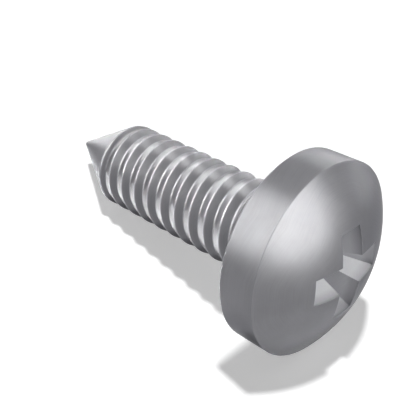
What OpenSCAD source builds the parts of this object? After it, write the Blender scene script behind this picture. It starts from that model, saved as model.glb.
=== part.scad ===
// Pan head self-tapping screw with a cross recess, a spaced thread and a cone point.
// It lies on its side as it comes to rest: on the head's rim and on the thread's last crest.
// The local axis of the screw is Z, with the bearing face of the head at Z = 0 and the tip below.

/* [Head] */
// Diameter of the head
head_d = 20; // [17:0.5:24]
// Height of the head from its bearing face to the top of the dome
head_h = 7.5; // [7:0.25:9]
// Radius of the domed top
dome_r = 16; // [14:0.5:24]
// Width of the small bevel at the foot of the rim
rim_break = 0.2; // [0.1:0.05:0.5]
// Width of the bevel in the corner between the neck and the head
under_head_w = 0.5; // [0.3:0.05:0.6]

/* [Cross recess] */
// Width across two opposite wings, at the height of their outer corners
recess_span = 9.22; // [7:0.1:10.5]
// Width of a wing, at the height of its outer corners
wing_w = 2.76; // [2.4:0.05:3.2]
// Depth of the recess below the top of the dome
recess_depth = 5.8; // [4.5:0.1:6.2]
// Lean of the wings' side walls from the axis, in degrees
side_draft = 12; // [4:0.5:12.5]
// Lean of the wings' end walls from the axis, in degrees
end_draft = 28.5; // [20:0.5:32]

/* [Thread] */
// Outer diameter of the thread
thread_d = 9.6; // [8.4:0.1:11]
// Distance from one crest to the next
pitch = 2.1; // [1.8:0.1:2.6]
// Depth of the groove between two crests
thread_depth = 0.34; // [0.2:0.02:0.9]
// Width of the flat on each crest
crest_w = 0.1; // [0.06:0.02:0.3]
// Width of the rounded foot of the groove
root_w = 0.3; // [0.2:0.05:1.1]
// Height of a crest below the bearing face, on the side that lies on the floor
crest_start = 0.23; // [0:0.01:2]
// Plain neck between the head and the first groove
neck_l = 1; // [0.5:0.1:2]
// Length over which the groove runs out at each of its ends
runout_l = 0.7; // [0.4:0.1:1.5]

/* [Length and point] */
// Length from the bearing face to the tip
screw_l = 32; // [26:1:45]
// Length of the cone point
point_l = 8.4; // [6.5:0.1:10]
// Radius of the rounded tip
tip_r = 0.35; // [0.2:0.05:0.8]

/* [Hidden] */
$fn = 100;

// Head: turned by half a step, so that the middle of a facet and no corner faces the floor
head_r = head_d/2;
rim_turn = 180/$fn;
dome_centre = head_h - dome_r;

// Recess: its walls lean out to a level just above the dome, and in to the floor.
// The neck is joined to the head halfway up to that floor.
wing_r = recess_span/2;
corner_r = norm([wing_r, wing_w/2]);
corner_z = dome_centre + sqrt(pow(dome_r, 2) - pow(corner_r, 2));
mouth_z = head_h + 0.5;
floor_z = head_h - recess_depth;
sunk_l = floor_z/2;
function wing_reach(z) = wing_r + (z - corner_z)*tan(end_draft);
function wing_half(z) = wing_w/2 + (z - corner_z)*tan(side_draft);

// Thread: each turn has six rows of points, two along its crest and four across its rounded root
thread_r = thread_d/2;
around = 48;
flank_w = (pitch - crest_w - root_w)/2;
root_bend = thread_depth/(root_w*flank_w + pow(root_w, 2)/4);
foot_depth = thread_depth - root_bend*pow(root_w/2, 2);
middle_depth = thread_depth - root_bend*pow(root_w/6, 2);
foot_w = crest_w + flank_w;
row_drop = [0, crest_w, foot_w, foot_w + root_w/3, foot_w + 2*root_w/3, foot_w + root_w];
row_depth = [0, 0, foot_depth, middle_depth, middle_depth, foot_depth];
turn_rows = len(row_drop);
groove_top = -neck_l;
groove_end = -(screw_l - point_l);
turns = ceil((groove_top - groove_end)/pitch) + 2;
rows = turn_rows*turns;
first_row_z = -crest_start + crest_w/2 + pitch*floor((groove_top + crest_start)/pitch + 1);

// Tip: a ball that touches the cone's side
tip_lean = point_lean(20);
tip_rings = 4;

// Lean of the cone's side, refined until the rounded tip ends at the full length
function point_lean(steps) = steps == 0
    ? atan(thread_r/point_l)
    : let (lean = point_lean(steps - 1)) atan(thread_r/(point_l + tip_r*(1/sin(lean) - 1)));

// Rest: the axis dips until the rim's foot and the last crest touch the floor together.
// The origin is on the floor, halfway between the tip and the foremost point of the dome.
rest_tilt = atan((head_r - thread_r)/(rim_break - groove_end));
rest_lift = head_r*cos(rest_tilt) - rim_break*sin(rest_tilt);
tip_reach = -screw_l*cos(rest_tilt) - tip_r*(1 - cos(rest_tilt));
front_z = dome_centre + dome_r*cos(rest_tilt);
dome_reach = dome_centre*cos(rest_tilt) + sqrt(pow(dome_r, 2) - pow(wing_half(front_z), 2));
middle_x = (dome_reach + tip_reach)/2;

// Turn of point j from the side that lies on the floor
function point_turn(j) = 360*j/around;

function ring(r, z) = [
    for (j = [0 : around - 1]) [r*cos(point_turn(j)), r*sin(point_turn(j)), z]
];

// Height of point j of a thread row, which climbs one pitch in a full turn
function row_z(i, j) =
    first_row_z - pitch*floor(i/turn_rows) - row_drop[i % turn_rows] + pitch*point_turn(j)/360;

function groove_share(z) = max(0, min(1, (groove_top - z)/runout_l, (z - groove_end)/runout_l));

function row_point(i, j) =
    let (z = row_z(i, j), r = thread_r - row_depth[i % turn_rows]*groove_share(z))
    [r*cos(point_turn(j)), r*sin(point_turn(j)), z];

// Numbers of the shank's points: sunk ring, top ring, thread rows, end ring, tip rings, tip
sunk_first = 0;
top_first = around;
rows_first = 2*around;
end_first = rows_first + rows*around;
tip_first = end_first + around;
tip_point = tip_first + tip_rings*around;

// A row that passes the groove's end follows the plain ring there
function row_index(i, j) =
    j == around ? row_index(i - turn_rows, 0)
    : i < 0 || row_z(i, j) >= groove_top ? top_first + j
    : i >= rows || row_z(i, j) <= groove_end ? end_first + j
    : rows_first + i*around + j;

function band(lower, upper) = [
    for (j = [0 : around - 1])
        let (k = (j + 1) % around)
        each [[upper + j, upper + k, lower + k], [upper + j, lower + k, lower + j]]
];

function thread_faces() = [
    for (i = [-turn_rows : rows - 1], j = [0 : around - 1])
        let (
            a = row_index(i, j),
            b = row_index(i, j + 1),
            c = row_index(i + 1, j + 1),
            d = row_index(i + 1, j)
        )
        each [
            if (a != b && b != c && a != c) [a, b, c],
            if (a != c && c != d && a != d) [a, c, d]
        ]
];

module threaded_shank() {
    tip_centre = -screw_l + tip_r;
    points = concat(
        ring(thread_r, sunk_l),
        ring(thread_r, groove_top),
        [for (i = [0 : rows - 1], j = [0 : around - 1]) row_point(i, j)],
        ring(thread_r, groove_end),
        [for (k = [0 : tip_rings - 1])
            let (turn = (90 - tip_lean)*(1 - k/tip_rings))
            each ring(tip_r*sin(turn), tip_centre - tip_r*cos(turn))],
        [[0, 0, -screw_l]]
    );
    faces = concat(
        [[for (j = [0 : around - 1]) around - 1 - j]],
        band(top_first, sunk_first),
        thread_faces(),
        band(tip_first, end_first),
        [for (k = [0 : tip_rings - 2])
            each band(tip_first + (k + 1)*around, tip_first + k*around)],
        [for (j = [0 : around - 1])
            let (last = tip_first + (tip_rings - 1)*around)
            [last + j, last + (j + 1) % around, tip_point]]
    );
    polyhedron(points, faces, convexity = 12);
}

// Block with a leaning pair of sides, as wide as half_low at the floor and half_high at the mouth
module leaning_block(half_low, half_high) {
    rotate([90, 0, 0])
        linear_extrude(head_d, center = true)
            polygon([
                [-half_low, floor_z],
                [half_low, floor_z],
                [half_high, mouth_z],
                [-half_high, mouth_z]
            ]);
}

module wing_pair() {
    intersection() {
        leaning_block(wing_reach(floor_z), wing_reach(mouth_z));
        rotate([0, 0, 90]) leaning_block(wing_half(floor_z), wing_half(mouth_z));
    }
}

module cross_recess() {
    wing_pair();
    rotate([0, 0, 90]) wing_pair();
}

module pan_head() {
    difference() {
        rotate([0, 0, rim_turn])
            intersection() {
                union() {
                    cylinder(h = rim_break, r1 = head_r - rim_break, r2 = head_r);
                    translate([0, 0, rim_break]) cylinder(h = head_h - rim_break, r = head_r);
                }
                translate([0, 0, dome_centre]) sphere(r = dome_r);
            }
        cross_recess();
    }
}

// Bevel that strengthens the corner between the neck and the head
module under_head() {
    inner_w = 0.3;
    foot = under_head_w + inner_w;
    translate([0, 0, -foot])
        cylinder(h = foot + sunk_l, r1 = thread_r - inner_w, r2 = thread_r + under_head_w + sunk_l);
}

module screw() {
    color("silver")
        translate([-middle_x, 0, rest_lift])
            rotate([0, 90 - rest_tilt, 0])
                union() {
                    pan_head();
                    under_head();
                    threaded_shank();
                }
}

screw();
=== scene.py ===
import math
import bpy
import numpy as np
from mathutils import Matrix


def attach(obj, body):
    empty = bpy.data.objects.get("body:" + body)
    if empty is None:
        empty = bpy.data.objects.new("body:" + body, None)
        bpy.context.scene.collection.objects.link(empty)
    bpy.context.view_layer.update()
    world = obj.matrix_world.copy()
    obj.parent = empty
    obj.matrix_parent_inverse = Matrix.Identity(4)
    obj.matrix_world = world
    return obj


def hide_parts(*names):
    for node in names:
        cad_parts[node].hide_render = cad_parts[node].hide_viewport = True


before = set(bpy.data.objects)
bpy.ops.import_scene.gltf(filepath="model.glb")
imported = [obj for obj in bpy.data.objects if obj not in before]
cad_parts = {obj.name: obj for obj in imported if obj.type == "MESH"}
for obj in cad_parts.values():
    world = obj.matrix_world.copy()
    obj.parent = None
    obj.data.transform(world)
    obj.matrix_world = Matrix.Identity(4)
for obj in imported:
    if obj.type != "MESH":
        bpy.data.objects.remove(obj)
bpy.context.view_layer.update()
print("frame loaded")

# sizes in millimetres, with the bearing face of the head at height 0 and the tip below it
screw = {
    "headRadius": 10.0,
    "headHeight": 7.5,
    "domeRadius": 16.0,
    "rimEdge": 0.04,         # rounding where the rim meets the dome
    "rimBreak": 0.2,         # bevel at the rim's foot
    "neckBevel": 0.5,        # bevel between the bearing face and the neck
    "recessSpan": 9.22,
    "wingWidth": 2.76,
    "recessDepth": 5.8,
    "sideDraft": 12.0,
    "endDraft": 28.5,
    "mouthEdge": 0.05,       # rounding of the recess's mouth
    "threadRadius": 4.8,
    "pitch": 2.1,
    "threadDepth": 0.34,
    "crestWidth": 0.1,
    "crestEdge": 0.02,       # softness of the bend from a crest to its flanks
    "rootWidth": 0.3,
    "crestStart": 0.23,      # height of a crest below the bearing face, on the floor's side
    "neckLength": 1.0,
    "runout": 0.7,           # length over which the groove fades at each of its ends
    "length": 32.0,
    "pointLength": 8.4,
    "tipRadius": 0.35,
    "coneEdge": 0.08,        # length of the rounding where the cone begins
    "columns": 192,          # points round the screw, a multiple of 48
    "joinRadius": 6.6,       # circle on the dome where the cross's rows meet the turned rows
}


def domeHeight(s, x, y):
    # height of the dome's sphere above the point x, y
    return s["headHeight"] - s["domeRadius"] + np.sqrt(s["domeRadius"] ** 2 - x * x - y * y)


def wingSizes(s, z):
    # reach and half width of a wing at height z; both grow with height by the walls' drafts
    corner = math.hypot(s["recessSpan"] / 2, s["wingWidth"] / 2)
    level = domeHeight(s, corner, 0.0)
    reach = s["recessSpan"] / 2 + (z - level) * math.tan(math.radians(s["endDraft"]))
    half = s["wingWidth"] / 2 + (z - level) * math.tan(math.radians(s["sideDraft"]))
    return reach, half


def restPose(s):
    # the screw lies on the rim's foot and on its last crest, with the origin under the middle of its length
    end = s["length"] - s["pointLength"]
    tilt = math.atan((s["headRadius"] - s["threadRadius"]) / (s["rimBreak"] + end))
    lift = s["headRadius"] * math.cos(tilt) - s["rimBreak"] * math.sin(tilt)
    centre = s["headHeight"] - s["domeRadius"]
    wing = wingSizes(s, centre + s["domeRadius"] * math.cos(tilt))[1]
    front = centre * math.cos(tilt) + math.sqrt(s["domeRadius"] ** 2 - wing ** 2)
    back = -s["length"] * math.cos(tilt) - s["tipRadius"] * (1 - math.cos(tilt))
    return tilt, lift, (front + back) / 2


tilt, lift, middle = restPose(screw)


def layDirection(vectors):
    # turns the upright screw onto its side: its own axis leans tilt above +X, and its own x points down
    x, y, z = np.moveaxis(np.asarray(vectors, float), -1, 0)
    return np.stack([
        x * math.sin(tilt) + z * math.cos(tilt),
        y,
        z * math.sin(tilt) - x * math.cos(tilt),
    ], axis=-1)


def layDown(points):
    # the same turn for points, which also move onto the floor; the result is in metres
    return (layDirection(points) + [-middle, 0.0, lift]) / 1000


def unit(vector):
    return vector / np.linalg.norm(vector)


def addObject(name, data):
    item = bpy.data.objects.new(name, data)
    bpy.context.scene.collection.objects.link(item)
    return item


def setAxes(item, right, back, place):
    # a camera or lamp looks against its back axis; its up axis follows from the other two
    matrix = np.eye(4)
    matrix[:3] = np.stack([right, np.cross(back, right), back, place], axis=1)
    item.matrix_world = Matrix(matrix.tolist())


# the camera in the screw's own frame; its place is measured from the bearing face, in head radii
view = {
    "place": (-4.064, -4.983, 3.757),
    "right": (0.0, 0.70765, 0.70655),
    "back": (-0.5, -0.6123, 0.6125),
    "focal": 68.05,
    "sensor": 36.0,
    "clip": (0.005, 50.0),
}


def placeCamera(v):
    # the right axis is squared up to the back axis, because both are rounded
    data = bpy.data.cameras.new("camera")
    data.lens = v["focal"]
    data.sensor_width = v["sensor"]
    data.clip_start, data.clip_end = v["clip"]
    camera = addObject("camera", data)
    back = unit(layDirection(v["back"]))
    right = layDirection(v["right"])
    right = unit(right - back * (right @ back))
    setAxes(camera, right, back, layDown(np.array(v["place"]) * screw["headRadius"]))
    bpy.context.scene.camera = camera


placeCamera(view)
print("camera placed")


def blend(first, last, shares):
    # straight from first to last, at the given shares of the way
    share = np.reshape(shares, (-1,) + (1,) * np.ndim(first))
    return first * (1 - share) + last * share


def bend(first, corner, last, shares):
    # a quadratic curve from first to last that is drawn to the corner
    share = np.reshape(shares, (-1,) + (1,) * np.ndim(first))
    return first * (1 - share) ** 2 + 2 * corner * share * (1 - share) + last * share ** 2


def turnedRows(s, profile):
    # a profile of radii and heights, turned round the screw's axis
    angle = np.linspace(0, 2 * math.pi, s["columns"] + 1)
    radii, heights = np.asarray(profile, float).T[:, :, None]
    return np.stack([radii * np.cos(angle), radii * np.sin(angle), heights + 0 * angle], axis=-1)


def crossOutline(s, level, inner, corner):
    # Within an eighth turn the cross's outline runs along half an end wall, then along a side wall to an
    # inner corner. The walls are taken at height level, the inner corners at inner, the outer at corner.
    eighth = s["columns"] // 8
    endSteps = eighth // 4
    column = np.arange(s["columns"] + 1)
    step = column % (2 * eighth)
    mirrored = step > eighth
    step = np.where(mirrored, 2 * eighth - step, step)
    alongEnd = step / endSteps
    alongSide = (step - endSteps) / (eighth - endSteps)
    reach, half = wingSizes(s, level)
    innerHalf = wingSizes(s, inner)[1]
    cornerReach, cornerHalf = wingSizes(s, corner)
    x = np.where(step <= endSteps, reach, cornerReach + (innerHalf - cornerReach) * alongSide)
    y = np.where(step <= endSteps, cornerHalf * alongEnd, half)
    x, y = np.where(mirrored, y, x), np.where(mirrored, x, y)
    turn = column // (2 * eighth) * math.pi / 2
    return np.stack([
        x * np.cos(turn) - y * np.sin(turn),
        x * np.sin(turn) + y * np.cos(turn),
        level + 0 * x,
    ], axis=-1)


def mouthOutline(s):
    # the outline where the walls meet the dome; the heights settle over a few dozen rounds
    corner = domeHeight(s, s["recessSpan"] / 2, s["wingWidth"] / 2)
    level = inner = s["headHeight"] - 1
    for _ in range(60):
        outline = crossOutline(s, level, inner, corner)
        level = domeHeight(s, outline[:, 0], outline[:, 1])
        innerHalf = wingSizes(s, inner)[1]
        inner = domeHeight(s, innerHalf, innerHalf)
    outline[:, 2] = level
    return outline


def recessRows(s):
    # floor, walls, rounded mouth, and the dome as far as the join; rows crowd beside the edges
    floorHeight = s["headHeight"] - s["recessDepth"]
    floor = crossOutline(s, floorHeight, floorHeight, floorHeight)
    mouth = mouthOutline(s)
    wall = np.linalg.norm(mouth - floor, axis=-1).mean()
    below = mouth + (floor - mouth) * (s["mouthEdge"] / wall)
    circle = turnedRows(s, [[s["joinRadius"], 0]])[0]
    span = np.linalg.norm((circle - mouth)[:, :2], axis=-1)[:, None]
    around = mouth + (circle - mouth) * (s["mouthEdge"] / span)
    around[:, 2] = domeHeight(s, around[:, 0], around[:, 1])
    dome = blend(around, circle, [0, 0.03, *np.linspace(0.08, 1, 14)])
    dome[..., 2] = domeHeight(s, dome[..., 0], dome[..., 1])
    return np.concatenate([
        blend(floor * [0, 0, 1], floor, [0, 0.5, 1]),
        blend(floor, below, [0.02, 0.2, 0.4, 0.6, 0.8, 0.97, 1]),
        bend(below, mouth, around, [0.25, 0.5, 0.75]),
        dome,
    ])


def headRows(s):
    # dome, rounded edge, rim, bevel, bearing face and neck, as one turned profile
    rim, edge, foot = s["headRadius"], s["rimEdge"], s["rimBreak"]
    neck, bevel = s["threadRadius"], s["neckBevel"]
    rimTop = domeHeight(s, rim, 0.0)
    radii = np.linspace(s["joinRadius"], rim - edge, 14)[1:]
    dome = np.stack([radii, domeHeight(s, radii, 0 * radii)], axis=-1)
    edgeRows = bend(dome[-1], np.array([rim, rimTop]), np.array([rim, rimTop - edge]), np.arange(1, 6) / 5)
    inside, outside = 0.012, 0.04    # how near the rows lie to the edges of the rim's bevel
    rimRows = [[rim, height] for height in (3.7, 3.0, 2.0, 1.0, 0.4, foot + outside)]
    footRows = [[rim - inside, foot - inside], [rim - foot / 2, foot / 2], [rim - foot + inside, inside]]
    faceRows = [[radius, 0] for radius in (rim - foot - outside, 9.0, 8.0, 7.0, 6.0, neck + bevel + 0.05)]
    bevelRows = [[neck + bevel - 0.02, -0.03], [neck + bevel / 2, -bevel / 2], [neck + 0.02, -bevel + 0.03]]
    neckRows = [[neck, -bevel - 0.06], [neck, -0.8]]
    return turnedRows(s, np.concatenate([dome, edgeRows, rimRows, footRows, faceRows, bevelRows, neckRows]))


def grooveDepths(s, fromCrest):
    # depth of the groove at a distance from the crest's middle: a ramp that starts softly at the crest,
    # and a parabola across the root
    flank = (s["pitch"] - s["crestWidth"] - s["rootWidth"]) / 2
    curve = s["threadDepth"] / (s["rootWidth"] * flank + s["rootWidth"] ** 2 / 4)
    slope = curve * s["rootWidth"]
    beyond = fromCrest - s["crestWidth"] / 2
    ramp = slope * (beyond + np.sqrt(beyond ** 2 + s["crestEdge"] ** 2)) / 2
    fromRoot = np.clip(s["pitch"] / 2 - fromCrest, 0, s["rootWidth"] / 2)
    return np.where(fromRoot < s["rootWidth"] / 2, s["threadDepth"] - curve * fromRoot ** 2, ramp)


def threadRows(s):
    # rows that climb one pitch in a turn; past the ends of the thread they stay on the plain ring there.
    # Their distances from a crest crowd beside the crest and across the root.
    pitch = s["pitch"]
    half = np.array([
        0, 0.025, 0.045, 0.065, 0.09, 0.14, 0.25, 0.4, 0.55, 0.7, 0.82, 0.87, 0.9, 0.93, 0.96, 1.0])
    way = np.concatenate([half, [pitch / 2], pitch - half[:0:-1]])
    top = -s["neckLength"]
    end = -(s["length"] - s["pointLength"]) + s["coneEdge"]
    turns = math.ceil((top - end) / pitch) + 2
    start = -s["crestStart"] + pitch * math.floor((top + s["crestStart"]) / pitch + 1)
    fall = (np.arange(turns)[:, None] * pitch + way).ravel()[:, None]
    groove = np.tile(grooveDepths(s, np.minimum(way, pitch - way)), turns)[:, None]
    angle = np.linspace(0, 2 * math.pi, s["columns"] + 1)
    height = start - fall + pitch * angle / (2 * math.pi)
    share = np.clip(np.minimum(top - height, height - end) / s["runout"], 0, 1)
    radius = s["threadRadius"] - groove * share ** 2 * (3 - 2 * share)
    return np.stack([radius * np.cos(angle), radius * np.sin(angle), np.clip(height, end, top)], axis=-1)


def pointRows(s):
    # rounded start, cone, and a ball at the tip that touches the cone; the lean settles over a few rounds
    lean = math.atan(s["threadRadius"] / s["pointLength"])
    for _ in range(20):
        reach = s["pointLength"] + s["tipRadius"] * (1 / math.sin(lean) - 1)
        lean = math.atan(s["threadRadius"] / reach)
    turn = np.linspace(math.pi / 2 - lean, 0, 9)
    ball = s["tipRadius"] * np.stack([np.sin(turn), 1 - np.cos(turn)], axis=-1) - [0, s["length"]]
    corner = np.array([s["threadRadius"], s["pointLength"] - s["length"]])
    edge = s["coneEdge"]
    end = corner - [edge * math.sin(lean), edge * math.cos(lean)]
    return turnedRows(s, np.concatenate([
        bend(corner + [0, edge], corner, end, np.arange(5) / 4),
        blend(end, ball[0], [0.03, 0.1, 0.2, 0.3, 0.4, 0.5, 0.6, 0.7, 0.8, 0.9, 0.97]),
        ball,
    ]))


def weldGrid(name, grid, marks):
    # one closed mesh: points that coincide become one, and quads that lose a side become triangles
    perMillimetre = 10000
    sharpAngle = 46
    rows, columns = grid.shape[:2]
    flat = grid.reshape(-1, 3)
    keys = np.round(flat * perMillimetre).astype(np.int64)
    _, first, index = np.unique(keys, axis=0, return_index=True, return_inverse=True)
    index = index.reshape(rows, columns)
    corners = [index[:-1, :-1], index[1:, :-1], index[1:, 1:], index[:-1, 1:]]
    quads = np.stack(corners, axis=-1).reshape(-1, 4)
    same = quads == np.roll(quads, -1, axis=1)
    whole = quads[same.sum(axis=1) == 0]
    whole = whole[(whole[:, 0] != whole[:, 2]) & (whole[:, 1] != whole[:, 3])]
    cut = same.sum(axis=1) == 1
    drop = same[cut].argmax(axis=1)
    order = (drop[:, None] + 1 + np.arange(3)) % 4
    triangles = np.take_along_axis(quads[cut], order, axis=1)
    mesh = bpy.data.meshes.new(name)
    mesh.from_pydata(layDown(flat[first]).tolist(), [], whole.tolist() + triangles.tolist())
    for mark, values in marks.items():
        kind, field = ("FLOAT_VECTOR", "vector") if values.ndim == 3 else ("FLOAT", "value")
        layer = mesh.attributes.new(mark, kind, "POINT")
        values = values.reshape(rows * columns, -1)[first]
        layer.data.foreach_set(field, values.astype(np.float32).ravel())
    mesh.shade_smooth()
    mesh.set_sharp_from_angle(angle=math.radians(sharpAngle))
    return addObject(name, mesh)


# where wear and painted light brighten the steel: wear on the head's edges, wear and a painted highlight on
# the crests, a painted highlight at the groove's foot, painted light in the recess; in millimetres on the
# head and in shares of the groove's depth below it
wearAndPaintedLight = {
    "mouthWidth": 0.12,      # how far it reaches from the recess's mouth
    "rimWidth": 0.13,        # how far it reaches from the rim's two edges
    "headStrength": 0.12,
    "crestDepth": 0.06,      # how far the wear and painted highlight reach down from a crest
    "rootDepth": 0.035,      # how far the painted highlight reaches up from the groove's foot
    "rootStrength": 0.7,
    "recessStart": 0.05,     # depth below the dome where the recess's painted light and added roughness begin
    "recessFull": 0.5,       # depth where both are full
}


def fade(distance, width):
    # 1 at no distance, and less with each width away
    return np.exp(-(distance / width) ** 2)


def markRows(s, w, parts):
    # what the material reads at each point: how far inside the recess, where light is painted in, how worn
    # or painted with a highlight, how deep in the thread's groove, and a vector that runs round the screw
    # and along its profile
    grid = np.concatenate(parts)
    recessEnd, headEnd, threadEnd = np.cumsum([len(part) for part in parts])[:3]
    onThread = slice(headEnd, threadEnd)
    radius = np.hypot(grid[..., 0], grid[..., 1])
    height = grid[..., 2]
    recess, wearAndSheen, groove = np.zeros((3,) + radius.shape)

    # the recess mark makes the recess's colour painted light, lighter than the rest, and its surface
    # rougher
    hole = grid[:recessEnd]
    depth = domeHeight(s, hole[..., 0], hole[..., 1]) - hole[..., 2]
    recess[:recessEnd] = np.clip((depth - w["recessStart"]) / (w["recessFull"] - w["recessStart"]), 0, 1)

    wearAndSheen[:recessEnd] = fade(np.linalg.norm(hole - mouthOutline(s), axis=-1), w["mouthWidth"])
    rimTop = domeHeight(s, s["headRadius"], 0.0)
    fromTop = np.hypot(radius - s["headRadius"], height - rimTop)
    fromFoot = np.hypot(radius - s["headRadius"], height - s["rimBreak"])
    rimWear = fade(np.minimum(fromTop, fromFoot)[:headEnd], w["rimWidth"])
    wearAndSheen[:headEnd] = w["headStrength"] * np.maximum(wearAndSheen[:headEnd], rimWear)

    groove[onThread] = np.clip((s["threadRadius"] - radius[onThread]) / s["threadDepth"], 0, 1)
    # the crests are brightened by wear and a painted highlight, the groove's foot by a painted highlight
    # alone
    crestWearAndSheen = fade(groove[onThread], w["crestDepth"])
    rootSheen = w["rootStrength"] * fade(1 - groove[onThread], w["rootDepth"])
    inGroove = (height < -s["neckLength"]) & (height > s["pointLength"] - s["length"])
    wearAndSheen[onThread] = np.maximum(crestWearAndSheen, rootSheen) * inGroove[onThread]

    angle = np.linspace(0, 2 * math.pi, s["columns"] + 1)
    steps = np.linalg.norm(np.diff(grid, axis=0, prepend=grid[:1]), axis=-1)
    along = np.cumsum(steps, axis=0)
    lay = np.stack([np.cos(angle) + 0 * along, np.sin(angle) + 0 * along, along], axis=-1)
    return {"recess": recess, "wearAndSheen": wearAndSheen, "groove": groove, "lay": lay}


parts = [recessRows(screw), headRows(screw), threadRows(screw), pointRows(screw)]
steelScrew = weldGrid("steelScrew", np.concatenate(parts), markRows(screw, wearAndPaintedLight, parts))
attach(steelScrew, "root")
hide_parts("screw")
print("screw built:", len(steelScrew.data.vertices), "points")


steel = {
    "base": (0.172, 0.172, 0.1845),
    # the recess's colour is painted light: lighter, to make up for the shade its walls cast on each other
    "recessPaintedLight": (0.4, 0.4, 0.423, 1),
    # the lighter colour of worn head edges, and of the painted highlights on the crests and at the groove's
    # foot
    "wearAndSheenBase": (0.38, 0.38, 0.406, 1),
    "tint": (0.6, 0.6, 0.62, 1),
    "grooveShade": 0.14,     # how much darker the groove is from half its depth on
    "cloudDrift": 0.07,      # how far the clouds vary the tone
    "lineDrift": 0.06,       # how far the lines vary it
    "wearAndSheenGaps": 0.35,        # what is left of the wear and painted highlights between their patches
    "wearAndSheenSpread": (0.35, 0.6),    # where in the lines their patches begin and are full
    "roughness": 0.35,
    "roughDrift": 0.05,      # how far the lines vary the roughness
    "recessRough": 0.2,      # added to the roughness inside the recess
    "wearAndSheenRough": -0.1,       # added to it on worn edges and on the painted highlights
    "cloud": {"Scale": 260.0, "Detail": 3.0, "Roughness": 0.55},
    "line": {"Scale": 1.0, "Detail": 4.0, "Roughness": 0.7},
    "lineStretch": (2.2, 2.2, 9.0),
    "grain": {"Scale": 7000.0, "Detail": 2.0},
    "lineBump": {"Strength": 0.1, "Distance": 0.00002},
    "grainBump": {"Strength": 0.08, "Distance": 0.00001},
}


def feed(tree, socket, value):
    # another node's output is linked, and a plain value is set
    if isinstance(value, bpy.types.NodeSocket):
        tree.links.new(value, socket)
    else:
        socket.default_value = value


def addNode(tree, kind, settings=None, **inputs):
    # a node with its settings and what its inputs get; _1 stands for the input with number 1
    node = tree.nodes.new(kind)
    for name, value in (settings or {}).items():
        setattr(node, name, value)
    for name, value in inputs.items():
        feed(tree, node.inputs[int(name[1:]) if name[0] == "_" else name], value)
    return node


def readMark(tree, name):
    # the outputs of a node that reads one of the screw's marks
    return addNode(tree, "ShaderNodeAttribute", {"attribute_name": name}).outputs


def calculate(tree, operation, *values):
    node = addNode(tree, "ShaderNodeMath", {"operation": operation})
    for socket, value in zip(node.inputs, values):
        feed(tree, socket, value)
    return node.outputs[0]


def mapRange(tree, value, source, target):
    # a value between the two of source becomes one between the two of target, and stops at both ends
    node = addNode(
        tree, "ShaderNodeMapRange", _0=value, _1=source[0], _2=source[1], _3=target[0], _4=target[1])
    return node.outputs[0]


def driftRange(tree, noise, middle, drift):
    # the stretch of a noise that holds most of its values drifts this far to each side of middle
    return mapRange(tree, noise, (0.3, 0.7), (middle - drift, middle + drift))


def addNoise(tree, place, values):
    return addNode(tree, "ShaderNodeTexNoise", Vector=place, **values).outputs["Fac"]


def mixColour(tree, share, first, second):
    return addNode(tree, "ShaderNodeMix", {"data_type": "RGBA"}, _0=share, _6=first, _7=second).outputs[2]


def steelMaterial(m):
    material = bpy.data.materials.new("satinSteel")
    material.use_nodes = True
    tree = material.node_tree
    inputs = tree.nodes["Principled BSDF"].inputs
    inputs["Metallic"].default_value = 1.0
    inputs["Specular Tint"].default_value = m["tint"]

    # clouds of a few millimetres, fine lines that run round the screw, and the grain of the metal
    place = addNode(tree, "ShaderNodeTexCoord").outputs["Object"]
    cloud = addNoise(tree, place, m["cloud"])
    stretched = addNode(
        tree, "ShaderNodeVectorMath", {"operation": "MULTIPLY"},
        _0=readMark(tree, "lay")["Vector"], _1=m["lineStretch"])
    lines = addNoise(tree, stretched.outputs[0], m["line"])
    grain = addNoise(tree, place, m["grain"])

    # plain tone: clouds and lines vary it, and the groove's flanks and foot are a little darker
    clouded = driftRange(tree, cloud, 1, m["cloudDrift"])
    lined = driftRange(tree, lines, 1, m["lineDrift"])
    shade = mapRange(tree, readMark(tree, "groove")["Fac"], (0.0, 0.5), (1.0, 1 - m["grooveShade"]))
    tone = calculate(tree, "MULTIPLY", calculate(tree, "MULTIPLY", clouded, lined), shade)
    plain = addNode(tree, "ShaderNodeVectorMath", {"operation": "SCALE"}, _0=m["base"], Scale=tone)

    # base colour: the recess is painted lighter, as painted light for the shade its walls cast on each
    # other; patches on the head's edges are lighter from wear, on the crests from wear and a painted
    # highlight, and at the groove's foot from a painted highlight
    recess = readMark(tree, "recess")["Fac"]
    light = mixColour(tree, recess, plain.outputs[0], m["recessPaintedLight"])
    patches = mapRange(tree, lines, m["wearAndSheenSpread"], (m["wearAndSheenGaps"], 1.0))
    wearAndSheen = calculate(tree, "MULTIPLY", readMark(tree, "wearAndSheen")["Fac"], patches)
    feed(tree, inputs["Base Color"], mixColour(tree, wearAndSheen, light, m["wearAndSheenBase"]))

    # roughness: the lines vary it, worn places and painted highlights are smoother, and the punched recess
    # is rougher
    varied = driftRange(tree, lines, m["roughness"], m["roughDrift"])
    smoother = calculate(tree, "MULTIPLY_ADD", wearAndSheen, m["wearAndSheenRough"], varied)
    feed(tree, inputs["Roughness"], calculate(tree, "MULTIPLY_ADD", recess, m["recessRough"], smoother))

    # relief: grain over lines
    lineRelief = addNode(tree, "ShaderNodeBump", Height=lines, **m["lineBump"]).outputs[0]
    relief = addNode(tree, "ShaderNodeBump", Height=grain, Normal=lineRelief, **m["grainBump"])
    feed(tree, inputs["Normal"], relief.outputs[0])
    return material


steelScrew.data.materials.append(steelMaterial(steel))
print("steel applied")


studio = {
    "floorSize": 6.0,
    "floorGlow": 0.4,        # as the camera sees it
    "floorGloss": 0.2,       # as gloss sees it
    "floorColor": (0.8, 0.8, 0.8, 1),
    "sunStrength": 2.5,
    "sunAngle": 5.0,
    "sunFrom": (190, 80),    # azimuth and elevation
    "worldDiffuse": 0.1,     # what matt surfaces get of the white world
    "boxColor": (1.0, 1.0, 0.945),
    "boxDistance": 0.5,
}

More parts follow.
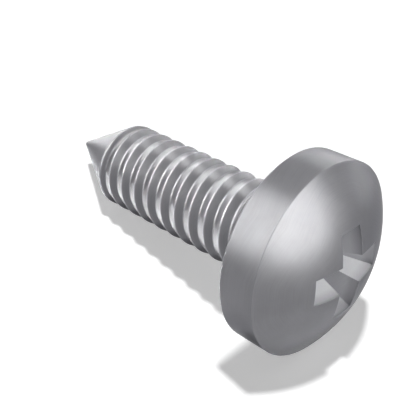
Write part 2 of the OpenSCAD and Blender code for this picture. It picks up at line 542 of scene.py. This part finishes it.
# soft boxes by azimuth and elevation in degrees, width and height in metres, and how bright they look
softBoxes = {
    "frontBox": (2, 29, 0.53, 0.50, 4.3),
    "leftBox": (-142, 25, 0.54, 0.60, 3.1),
    "backBox": (112, 17, 0.34, 0.42, 2.2),
    "topBox": (126, 67, 0.22, 0.18, 4.3),
    "tipBox": (159, 1, 0.34, 0.32, 5.1),
    "lowBox": (-172, -45, 0.34, 0.32, 4.6),
    "sideBox": (78, 6, 0.26, 0.26, 1.15),
    "underBox": (62, -62, 0.36, 0.36, 0.5),
    "groundBox": (12, -54, 0.9, 0.6, 0.25),
}


def seenRay(tree):
    # 1 for camera, glossy and transmission rays, and 0 for the rest; and 1 for camera rays alone
    path = addNode(tree, "ShaderNodeLightPath").outputs
    seen = calculate(tree, "MAXIMUM", path["Is Camera Ray"], path["Is Glossy Ray"])
    return calculate(tree, "MAXIMUM", seen, path["Is Transmission Ray"]), path["Is Camera Ray"]


def makeFloor(s):
    # pale paper that also glows, as bright as it is told for the camera and for gloss
    half = s["floorSize"] / 2
    corners = [(-half, -half, 0), (half, -half, 0), (half, half, 0), (-half, half, 0)]
    mesh = bpy.data.meshes.new("floor")
    mesh.from_pydata(corners, [], [(0, 1, 2, 3)])
    floor = addObject("floor", mesh)
    material = bpy.data.materials.new("floorPaper")
    material.use_nodes = True
    tree = material.node_tree
    tree.nodes.clear()
    seen, camera = seenRay(tree)
    gloss = calculate(tree, "MULTIPLY", seen, s["floorGloss"])
    strength = calculate(tree, "MULTIPLY_ADD", camera, s["floorGlow"] - s["floorGloss"], gloss)
    matt = addNode(tree, "ShaderNodeBsdfDiffuse", Color=s["floorColor"]).outputs[0]
    glow = addNode(tree, "ShaderNodeEmission", Strength=strength).outputs[0]
    both = addNode(tree, "ShaderNodeAddShader", _0=matt, _1=glow).outputs[0]
    addNode(tree, "ShaderNodeOutputMaterial", Surface=both)
    mesh.materials.append(material)


def makeWorld(s):
    # white to the rays that see it, and dim as a light on matt surfaces
    world = bpy.data.worlds.new("studio")
    bpy.context.scene.world = world
    world.use_nodes = True
    tree = world.node_tree
    background = tree.nodes["Background"].inputs
    background["Color"].default_value = (1, 1, 1, 1)
    diffuse = s["worldDiffuse"]
    strength = calculate(tree, "MULTIPLY_ADD", seenRay(tree)[0], 1 - diffuse, diffuse)
    feed(tree, background["Strength"], strength)


def aimLamp(lamp, azimuth, elevation, distance):
    # the lamp stands that far out and looks at the origin
    a, e = math.radians(azimuth), math.radians(elevation)
    back = np.array([math.cos(a) * math.cos(e), math.sin(a) * math.cos(e), math.sin(e)])
    setAxes(lamp, unit(np.cross([0.0, 0.0, 1.0], back)), back, back * distance)


def softBox(s, name, azimuth, elevation, width, height, radiance):
    # a glowing panel that only gloss sees, and that nothing shades, so that it also reaches into the recess
    # and the thread; its watts follow from its area and how bright it looks
    data = bpy.data.lights.new(name, "AREA")
    data.shape = "ELLIPSE"
    data.size, data.size_y = width, height
    data.energy = radiance * math.pi * (math.pi / 4 * width * height)
    data.color = s["boxColor"]
    data.use_shadow = False
    data.cycles.use_multiple_importance_sampling = False
    lamp = addObject(name, data)
    lamp.visible_diffuse = False
    aimLamp(lamp, azimuth, elevation, s["boxDistance"])


def sunLamp(s):
    # a sun that only matt surfaces see; it casts the shadow on the floor
    data = bpy.data.lights.new("overhead", "SUN")
    data.energy = s["sunStrength"]
    data.angle = math.radians(s["sunAngle"])
    lamp = addObject("overhead", data)
    lamp.visible_glossy = False
    aimLamp(lamp, *s["sunFrom"], 1.0)


makeFloor(studio)
makeWorld(studio)
sunLamp(studio)
for name, box in softBoxes.items():
    softBox(studio, name, *box)
print("studio lit")

scene = bpy.context.scene
scene.view_settings.view_transform = "Standard"
